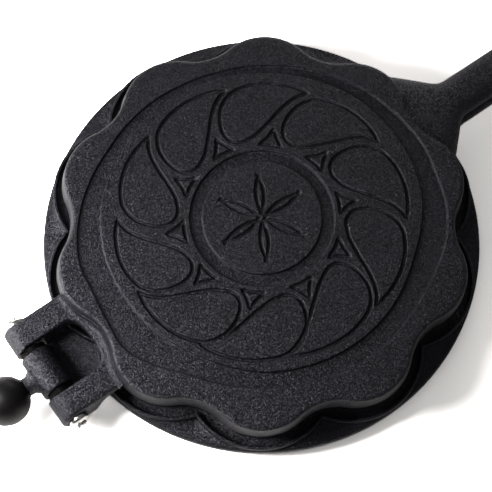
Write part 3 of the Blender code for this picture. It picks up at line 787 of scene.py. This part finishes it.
def makeRibs(name, floor, facing):
    half, reach = studs["ribWidth"] / 2, studs["ribReach"]
    star = []
    for k in range(studs["hearts"]):
        arm = heartDegrees * (k + 0.5)
        star += list(turnedBy([(half / math.sin(math.radians(heartDegrees / 2)), 0)],
                              arm - heartDegrees / 2))
        star += list(turnedBy([(reach, -half), (reach, half)], arm))
    low, high = sorted((floor - facing * studs["sunk"], floor + facing * studs["height"]))
    return finishForm(slab(name, star, low, high, studs["ribRounding"]), 60)


halves = (("lower", "lower_half", "lower_plate"), ("upper", "upper_half", "upper_plate"))
for (name, body, node), floor, facing in zip(halves, (base["floor"], lid["ceiling"]), (1, -1)):
    setPiece(makeStuds(name + "Studs", floor, facing), body, node, castIronBlack)
    setPiece(makeRibs(name + "Ribs", floor, facing), body, node, castIronBlack)
print("cooking faces made")


# Handles

handle = {
    "width": 20.8,
    "height": 10.0,
    "rootReach": 88.0,
    "neckEnd": 124.0,
    "end": 287.6,
    "rootWidth": 58.0,
    "rootCorner": 0.80,
    "corner": 0.770,
    "endLength": 9.0,
    "points": 72,
    "neckRings": 61,
    "barRings": 12,
    # heights of the neck's underside and crown at the plate, and of the bar's underside
    "upper": (19.3, 35.1, 19.7),
    "lower": (5.0, 13.5, 7.3),
    # shares of the neck's length, of its narrowing, of its change of height, of its rounding
    "neck": ((0.00, 0.00, 0.00, 0.00), (0.20, 0.00, 0.10, 0.04), (0.28, 0.02, 0.15, 0.07),
             (0.36, 0.15, 0.23, 0.11), (0.51, 0.425, 0.42, 0.21), (0.66, 0.704, 0.62, 0.37),
             (0.72, 0.817, 0.71, 0.48), (0.79, 0.925, 0.79, 0.60), (0.835, 0.97, 0.85, 0.72),
             (0.89, 0.995, 0.91, 0.84), (1.00, 1.00, 1.00, 1.00)),
    # shares of the end's length and of the section's size
    "tip": ((0.0, 1.0), (0.3, 0.975), (0.55, 0.90), (0.75, 0.76), (0.9, 0.54), (0.97, 0.32),
            (1.0, 0.08)),
}


def section(x, width, low, high, corner):
    turns = (np.arange(handle["points"]) + 0.5) * 2 * math.pi / handle["points"]
    c, s = np.cos(turns), np.sin(turns)
    y = width / 2 * np.sign(c) * np.abs(c) ** corner
    z = (low + high) / 2 + (high - low) / 2 * np.sign(s) * np.abs(s) ** corner
    return np.column_stack([np.full(len(y), x), y, z])


# Reads a table with a smooth, never overshooting curve
def smoothRead(at, xs, ys):
    slopes = np.gradient(ys, xs)
    i = min(int(np.searchsorted(xs, at, "right")) - 1, len(xs) - 2)
    h = xs[i + 1] - xs[i]
    t = (at - xs[i]) / h
    return ((1 + 2 * t) * (1 - t) ** 2 * ys[i] + t * (1 - t) ** 2 * h * slopes[i]
            + t * t * (3 - 2 * t) * ys[i + 1] + t * t * (t - 1) * h * slopes[i + 1])


def makeHandle(name, rootLow, rootHigh, barLow):
    root, neckEnd, width, height, rootCorner, corner = [handle[key] for key in (
        "rootReach", "neckEnd", "width", "height", "rootCorner", "corner")]
    table = np.array(handle["neck"])
    rings = []
    for along in np.linspace(0, 1, handle["neckRings"]):
        narrowing, rise, rounding = [smoothRead(along, table[:, 0], table[:, i]) for i in (1, 2, 3)]
        rings.append(section(root + (neckEnd - root) * along,
                             handle["rootWidth"] + (width - handle["rootWidth"]) * narrowing,
                             rootLow + (barLow - rootLow) * rise,
                             rootHigh + (barLow + height - rootHigh) * rise,
                             rootCorner + (corner - rootCorner) * rounding))
    middle, start = barLow + height / 2, handle["end"] - handle["endLength"]
    places = [(x, 1.0) for x in np.linspace(neckEnd, start, handle["barRings"])[1:-1]]
    places += [(start + handle["endLength"] * along, size) for along, size in handle["tip"]]
    rings += [section(x, size * width, middle - size * height / 2, middle + size * height / 2,
                      corner) for x, size in places]
    return makePiece(name, np.concatenate(rings), cappedFaces(len(rings), handle["points"]))


for name, body, node in halves[::-1]:
    setPiece(makeHandle(name + "Handle", *handle[name]), body, node, castIronBlack)
print("handles made")


# Hinge

hinge = {
    "earGap": 27.8,
    "earWidth": 13.5,
    "nose": 8.0,
    "heel": 10.5,
    "edge": 1.8,
    "lift": 58.0,           # degrees that the heel rises at
    "armThickness": 6.6,
    "armFillet": 6.0,
    "rootReach": 88.0,
    "slotFromLid": 4.5,     # mm of web between the slot's end and the lid's valley
    "slotEase": 7.8,        # how much later the slot ends at its middle than at its sides
    "slotRoundness": 0.8,
    "slotEdge": 1.6,
    "barrelRadius": 8.0,
    "barrelLength": 21.6,
    "barrelEdge": 1.0,
    "boreRadius": 3.3,
    "boreEdge": 0.2,
    "tongueSetback": 0.6,   # each side of the tongue, inside the barrel's ends
    "tongueStep": 0.4,      # its faces lie this far inside the flange's
    "tongueEdge": 0.9,
    "tongueFlare": 12.0,
    "flareStart": 4.5,
    "riseStart": 3.0,       # mm past the flange, where the tongue's top starts to rise
    "riseCorner": 1.5,      # mm outside the barrel, the corner of that bend
    "underLift": 0.3,       # mm above the barrel's lowest line, where the underside runs in
    "underCorner": 3.5,     # mm in from the pin, the corner of that bend
    "bendSteps": 14,
    "meetAngle": -48.0,     # degrees round the barrel, where its top runs in
    "shelfStart": 6.6,
    "shelfWidth": 30.0,
    "shelfCorner": 1.5,
    "seatRadius": 6.2,
    "seatDepth": 0.3,
}
overrun = 2.0               # mm that cutters and hidden roots run past a face


# Turned about X so that a slab drawn in X and Z stands up across the iron
def standUp(obj):
    obj.data.transform(Matrix.Rotation(math.pi / 2, 4, "X"))
    return obj


def rodAcross(name, radius, low, high):
    form = bmesh.new()
    bmesh.ops.create_cone(form, cap_ends=True, segments=48, radius1=radius, radius2=radius,
                          depth=high - low, matrix=Matrix.Rotation(math.pi / 2, 4, "X"))
    bmesh.ops.translate(form, verts=form.verts,
                        vec=(-iron["hingeReach"], (low + high) / 2, iron["pinHeight"]))
    return fromForm(name, form)


def makeEars():
    reach, pin, nose = iron["hingeReach"], iron["pinHeight"], hinge["nose"]
    top = pin + nose
    low = top - hinge["armThickness"]
    slope = math.radians(hinge["lift"])
    heelX, heelZ = hinge["heel"] - reach, pin - nose
    filletX = heelX + (low - heelZ) / math.tan(slope) + hinge["armFillet"] * math.tan(slope / 2)
    side = [(-hinge["rootReach"], top)]
    side += arc((-reach, pin), nose, 90, 270, 28)
    side.append((heelX, heelZ))
    side += arc((filletX, low - hinge["armFillet"]), hinge["armFillet"], 90 + hinge["lift"], 90, 8)
    side.append((-hinge["rootReach"], low))
    far = hinge["earGap"] / 2 + hinge["earWidth"]
    ears = standUp(slab("hingeEars", side, -far, far, hinge["edge"]))
    half, power = hinge["earGap"] / 2, hinge["slotRoundness"]
    outer, end = -reach - nose - overrun, -iron["valleyReach"] - hinge["slotFromLid"]
    slot = [(outer, half), (outer, -half)]
    for turn in np.radians(np.linspace(-90, 90, 25)):
        slot.append((end - hinge["slotEase"] * (1 - abs(math.cos(turn)) ** power),
                     half * math.copysign(abs(math.sin(turn)) ** power, turn)))
    soft = hinge["slotEdge"]
    levels = [(0, pin - nose - overrun)]
    levels += [(soft * (1 - math.cos(t)), top - soft * (1 - math.sin(t)))
               for t in np.radians((0, 18, 36, 54, 72, 86))]
    levels.append((soft * 2, top + overrun))
    ears = combine(ears, loft("slot", slot, levels), "DIFFERENCE")
    ears = combine(ears, rodAcross("bore", hinge["boreRadius"], -far, far), "DIFFERENCE")
    for side in (1, -1):
        ends = sorted((side * (far - hinge["seatDepth"]), side * (far + overrun)))
        ears = combine(ears, rodAcross("seat", hinge["seatRadius"], *ends), "DIFFERENCE")
    return finishForm(ears, 35)


def makeBarrel():
    radius, edge, half = hinge["barrelRadius"], hinge["barrelEdge"], hinge["barrelLength"] / 2
    bore, soft = hinge["boreRadius"], hinge["boreEdge"]
    profile = [(bore, half - soft), (bore + soft, half), (radius - edge, half)]
    profile += [(radius - edge + edge * math.sin(t), half - edge + edge * math.cos(t))
                for t in quarter[1:]]
    profile += [(radius, share * (half - edge)) for share in (0.5, 0, -0.5)]
    profile += [(r, -h) for r, h in profile[5::-1]] + profile[:1]
    return turnedPiece("hingeBarrel", profile, 72, 40,
                       Matrix.Translation((-iron["hingeReach"], 0, iron["pinHeight"]))
                       @ Matrix.Rotation(math.pi / 2, 4, "X"))


# Points along a bend from start to end, drawn towards its corner
def curved(start, corner, end, steps):
    result = []
    for i in range(steps + 1):
        t = i / steps
        result.append(tuple((1 - t) ** 2 * a + 2 * t * (1 - t) * b + t * t * c
                            for a, b, c in zip(start, corner, end)))
    return result


def makeTongue():
    step, flare = hinge["tongueStep"], hinge["tongueFlare"]
    top, low = base["flangeTop"] - step, base["flangeUnder"] + step
    radius, reach, pin, flange = (hinge["barrelRadius"], iron["hingeReach"], iron["pinHeight"],
                                  iron["flangeRadius"])
    turn = math.radians(hinge["meetAngle"])
    meet = (radius * math.cos(turn) - reach, pin + radius * math.sin(turn))
    root, steps = overrun - flange + flare, hinge["bendSteps"]
    outline = [(root, top)]
    outline += curved((-flange - hinge["riseStart"], top),
                      (radius + hinge["riseCorner"] - reach, top), meet, steps)
    outline += [(-reach + 1, pin)]      # inside the barrel
    outline += curved((-reach, pin - radius + hinge["underLift"]),
                      (hinge["underCorner"] - reach, low), (overrun - flange, low), steps)
    outline += [(root, low)]
    side = hinge["barrelLength"] / 2 - hinge["tongueSetback"]
    wide = side + flare
    tongue = standUp(slab("hingeTongue", outline, -wide - overrun, wide + overrun))
    edge = [(-reach - radius, -side)]
    edge += arc((-reach + hinge["flareStart"], -wide), flare, 90, 0, 18)
    edge += [(root + overrun, -wide)]
    plan = edge + [(x, -y) for x, y in reversed(edge)]
    tongue = combine(tongue, slab("plan", plan, low - overrun, pin + radius), "INTERSECT")
    start, half, corner = hinge["shelfStart"] - reach, hinge["shelfWidth"] / 2, hinge["shelfCorner"]
    edge = [(start, -half + corner), (start + corner, -half), (root, -wide)]
    shelf = edge + [(x, -y) for x, y in reversed(edge)]
    tongue = combine(tongue, slab("shelf", shelf, low + 0.01, top - 0.01), "UNION")
    return finishForm(roundEdges(tongue, hinge["tongueEdge"], 50), 40)


setPiece(makeEars(), "upper_half", "upper_plate", castIronBlack)
setPiece(makeBarrel(), "lower_half", "lower_plate", castIronBlack)
setPiece(makeTongue(), "lower_half", "lower_plate", castIronBlack)


# Soft fillet where the web runs into the lid's wall
fillet = {
    "radius": 3.2,
    "sunk": 1.2,
    "middle": 180.0,        # degrees round from the handle
    "spread": 15.0,         # to each side
    "top": 27.0,            # height of the web
    "steps": 60,
}


def makeFillet():
    radius, sunk, count = fillet["radius"], fillet["sunk"], fillet["steps"]
    turns = np.radians(np.linspace(fillet["middle"] - fillet["spread"],
                                   fillet["middle"] + fillet["spread"], count))
    away = np.abs((turns + pitch / 2) % pitch - pitch / 2)
    inset = -lid["draft"] * (fillet["top"] - lid["under"]) / (lid["top"] - lid["under"])
    profile = [(-sunk, radius), (0.0, radius)]
    profile += [(radius * (1 - math.cos(t)), radius * (1 - math.sin(t)))
                for t in np.radians((15, 30, 45, 60, 75, 90))]
    profile += [(radius, -sunk), (-sunk, -sunk)]
    rows = []
    for out, up in profile:
        reach = flowerReach(inset + out, away)
        rows.append(np.column_stack([reach * np.cos(turns), reach * np.sin(turns),
                                     np.full(count, fillet["top"] + up)]))
    faces = []
    for i in range(len(profile)):
        here, there = i * count, (i + 1) % len(profile) * count
        faces += [(here + j, here + j + 1, there + j + 1, there + j) for j in range(count - 1)]
    faces += [tuple(i * count + end for i in range(len(profile))) for end in (0, count - 1)]
    return makePiece("webFillet", leaned(np.concatenate(rows)), faces, 50)


setPiece(makeFillet(), "upper_half", "upper_plate", castIronBlack)
print("hinge castings made")


# Ball stud: a smooth turned ball on a waisted neck with the castings' own skin
ball = {
    "reach": 150.4,
    "radius": 12.0,
    "drop": 1.8,            # its axis lies this far below the pin's
    "waist": 4.6,
    "waistShare": 1.08,     # the ball is cut off where it is this much wider than the waist
    "stub": ((0.05, 0.7), (0.0, 1.2)),      # (mm wider than the waist, mm from the ball)
    "neckStart": (0.1, 0.6),                # the same, where the sandy neck begins
    "flare": ((0.12, 2.6), (0.5, 1.6), (1.1, 0.7)),     # and (the same, mm from the barrel)
    "collar": 6.0,
    "foot": ((0.4, -0.4), (0.5, -1.4)),     # (mm wider than the collar, mm from the barrel)
    "collarLength": 4.6,
    "steps": 40,
    "tip": 0.02,            # radius left open at a turned end before it is welded shut
}


def makeBall():
    back = iron["hingeReach"] + hinge["barrelRadius"]
    radius, waist, collar, tip = [ball[key] for key in ("radius", "waist", "collar", "tip")]
    meet = math.pi - math.asin(waist * ball["waistShare"] / radius)
    profile = [(tip, ball["reach"] + radius)]
    for turn in meet * np.arange(1, ball["steps"] + 1) / ball["steps"]:
        profile.append((radius * math.sin(turn), ball["reach"] + radius * math.cos(turn)))
    root = profile[-1][1]
    profile += [(waist + wider, root - along) for wider, along in ball["stub"]]
    profile.append((tip, profile[-1][1]))
    wider, along = ball["neckStart"]
    neck = [(tip, root - along), (waist + wider, root - along)]
    neck += [(waist + wider, back + along) for wider, along in ball["flare"]]
    neck += [(collar + wider, back + along) for wider, along in ball["foot"]]
    neck += [(reach, back - ball["collarLength"]) for reach in (collar, tip)]
    place = (Matrix.Translation((0, 0, iron["pinHeight"] - ball["drop"]))
             @ Matrix.Rotation(-math.pi / 2, 4, "Y"))
    return [turnedPiece(name, line, 64, 50, place)
            for name, line in (("ballStud", profile), ("studNeck", neck))]


for obj, finish in zip(makeBall(), (ballFinish, castIronBlack)):
    setPiece(obj, "lower_half", "ball_stud", finish)


# Hinge screws: pan heads with a cross recess
screw = {
    "head": 5.2,
    "height": 3.2,
    "rim": 0.32,            # share of the height that the head's straight side takes
    "roundness": 0.8,
    "underEdge": 0.25,
    "lift": 0.3,            # above its seat
    "shank": 1.9,
    "length": 7.5,
    "recess": 2.6,
    "recessDepth": 1.6,
    "recessTurn": 33,
    "slot": 0.95,
    "steps": 48,
}


def makeScrew(name, node, side):
    head, shank, lift, rim, power, under, steps = [
        screw[key] for key in ("head", "shank", "lift", "rim", "roundness", "underEdge", "steps")]
    top = lift + screw["height"]
    profile = [(0.01, top)]
    for turn in np.linspace(0, math.pi / 2, 12):
        profile.append((head * math.sin(turn) ** power,
                        lift + screw["height"] * (rim + (1 - rim) * math.cos(turn) ** power)))
    profile += [(head, lift + under), (head - under, lift), (shank, lift),
                (shank, -screw["length"]), (0.01, -screw["length"])]
    form = makeForm(turnedPoints(profile, steps), cappedFaces(len(profile), steps))
    bmesh.ops.recalc_face_normals(form, faces=form.faces)
    arm, half = screw["recess"], screw["slot"] / 2
    quarterCross = np.array([(arm, -half), (arm, half), (half, half)])
    cross = np.concatenate([turnedBy(quarterCross, screw["recessTurn"] + turn)
                            for turn in (0, 90, 180, 270)])
    obj = combine(fromForm(name, form), slab("recess", cross, top - screw["recessDepth"], top + 1),
                  "DIFFERENCE")
    face = hinge["earGap"] / 2 + hinge["earWidth"] - hinge["seatDepth"]
    obj.data.transform(Matrix.Translation((-iron["hingeReach"], side * face, iron["pinHeight"]))
                       @ Matrix.Rotation(-side * math.pi / 2, 4, "X"))
    setPiece(finishForm(obj, 35), "upper_half", node, zincFinish)


makeScrew("screwLeft", "hinge_screw_left", 1)
makeScrew("screwRight", "hinge_screw_right", -1)

# the pin and washers get the near-black steel: painted shade in the gaps beside the barrel
for name in ("hinge_pin", "spacer_washer_left", "spacer_washer_right"):
    node = frame["nodes"][name]
    node.data.materials.clear()
    node.data.materials.append(steelFinish)
print("small hinge pieces made")


# Floor, camera and light

studio = {
    "turn": 35.5,           # degrees from the camera's right to the handles
    "floor": "#fdfaf7",
    "floorSize": 6.0,       # metres
    "floorDrop": 0.0002,
    "gain": 5.2,            # how much brighter the camera sees the paper
    "farGain": 3.0,         # the paper is brighter still where the lamps hardly reach
    "near": 0.4,            # metres, where that starts and where it is full
    "far": 2.0,
    "mirrored": 1.4,        # how bright the iron's sheen sees it
    "bounce": 0.30,         # and how much darker it lights the iron
    "world": "#ffffff",
    "worldLow": 0.04,       # strength at the table's level, up to this share of the sky's height
    "lowShare": 0.1,
    "worldHigh": 0.165,     # and overhead, from this one
    "highShare": 0.8,
}

reach = studio["floorSize"] / 2
floorMesh = bpy.data.meshes.new("floor")
corners = [(-reach, -reach, 0), (reach, -reach, 0), (reach, reach, 0), (-reach, reach, 0)]
floorMesh.from_pydata(corners, [], [(0, 1, 2, 3)])
floor = addObject("floor", floorMesh)
floor.location.z = -studio["floorDrop"]


# White paper; the camera itself sees a brighter print of it that only the shadows darken
def whitePaper(name, look):
    mat, tree, shader = newMaterial(name)
    rays = addNode(tree, "LightPath")
    dim = addNode(tree, "MapRange", {"Value": (rays, "Is Glossy Ray"), "To Min": look["bounce"],
                                     "To Max": look["mirrored"]})
    bright = addNode(tree, "MapRange", {"Value": (rays, "Is Camera Ray"), "To Min": (dim, "Result"),
                                        "To Max": look["gain"]})
    place = addNode(tree, "TexCoord")
    away = addNode(tree, "VectorMath", {0: (place, "Object")}, operation="LENGTH")
    evened = addNode(tree, "MapRange", {"Value": (away, "Value"), "From Min": look["near"],
                                        "From Max": look["far"], "To Min": 1.0,
                                        "To Max": look["farGain"]})
    level = addNode(tree, "Math", {0: (bright, "Result"), 1: (evened, "Result")},
                    operation="MULTIPLY")
    shade = addNode(tree, "VectorMath", {"Vector": toLinear(look["floor"])[:3],
                                         "Scale": (level, "Value")}, operation="SCALE")
    tree.links.new(shade.outputs["Vector"], shader.inputs["Base Color"])
    shader.inputs["Roughness"].default_value = 0.9
    shader.inputs["Specular IOR Level"].default_value = 0.0
    return mat


floorMesh.materials.append(whitePaper("studioPaper", studio))

world = bpy.data.worlds.new("studio")
world.use_nodes = True
sky = world.node_tree
backdrop = sky.nodes["Background"]
backdrop.inputs["Color"].default_value = toLinear(studio["world"])
toSky = addNode(sky, "TexCoord")
height = addNode(sky, "SeparateXYZ", {"Vector": (toSky, "Generated")})
level = addNode(sky, "MapRange", {"Value": (height, "Z"), "From Min": studio["lowShare"],
                                  "From Max": studio["highShare"], "To Min": studio["worldLow"],
                                  "To Max": studio["worldHigh"]})
rays = addNode(sky, "LightPath")
seen = addNode(sky, "Math", {0: (rays, "Is Camera Ray"), 1: (level, "Result")},
               operation="MAXIMUM")     # white past the floor's edge, and no more light
sky.links.new(seen.outputs["Value"], backdrop.inputs["Strength"])
bpy.context.scene.world = world

# From the camera's own right and forward on the table to the part's frame
toPart = (Matrix.Translation((centreX, 0, 0))
          @ Matrix.Rotation(-math.radians(studio["turn"]), 4, "Z"))

lamps = {
    # degrees round from the camera's right and above the table, metres away, wide and tall, watts
    "key": {"round": 199, "above": 46, "away": 0.42, "wide": 0.12, "tall": 0.12, "power": 0.90},
    "window": {"round": 184, "above": 21, "away": 0.52, "wide": 0.20, "tall": 0.32, "power": 3.5},
    "back": {"round": 80, "above": 12, "away": 0.80, "wide": 0.50, "tall": 0.20, "power": 1.3},
}
for name, lamp in lamps.items():
    light = bpy.data.lights.new(name, "AREA")
    light.shape = "ELLIPSE"
    light.size = lamp["wide"]
    light.size_y = lamp["tall"]
    light.energy = lamp["power"]
    obj = addObject(name, light)
    obj.visible_camera = False
    turn, above = math.radians(lamp["round"]), math.radians(lamp["above"])
    level = math.cos(above)
    spot = Vector((math.cos(turn) * level, math.sin(turn) * level, math.sin(above)))
    obj.matrix_world = toPart @ (Matrix.Translation(spot * lamp["away"])
                                 @ spot.to_track_quat("Z", "Y").to_matrix().to_4x4())

view = {
    "focal": 1400.0,        # pixels, for a picture 492 pixels wide
    "picture": 492,
    "above": 70.61,         # degrees
    "roll": 0.28,
    "right": 7.82,          # mm, where the plates' middle lies in the camera's own axes
    "up": 5.10,
    "away": 706.1,
    "aimHeight": 10.0,      # mm above the table
}
above, roll = math.radians(view["above"]), math.radians(view["roll"])
back = Vector((0, -math.cos(above), math.sin(above)))
right = Vector((1, 0, 0))
up = back.cross(right)
rows = Matrix((right * math.cos(roll) + up * math.sin(roll),
               up * math.cos(roll) - right * math.sin(roll), back))
spot = rows.transposed() @ -Vector((view["right"], view["up"], -view["away"])) * mm
spot.z += view["aimHeight"] * mm
cameraData = bpy.data.cameras.new("camera")
cameraData.lens = cameraData.sensor_width * view["focal"] / view["picture"]
cameraData.clip_start = 0.01
camera = addObject("camera", cameraData)
camera.matrix_world = toPart @ (Matrix.Translation(spot) @ rows.transposed().to_4x4())
bpy.context.scene.camera = camera
bpy.context.scene.view_settings.view_transform = "Standard"
print("camera and lights placed")
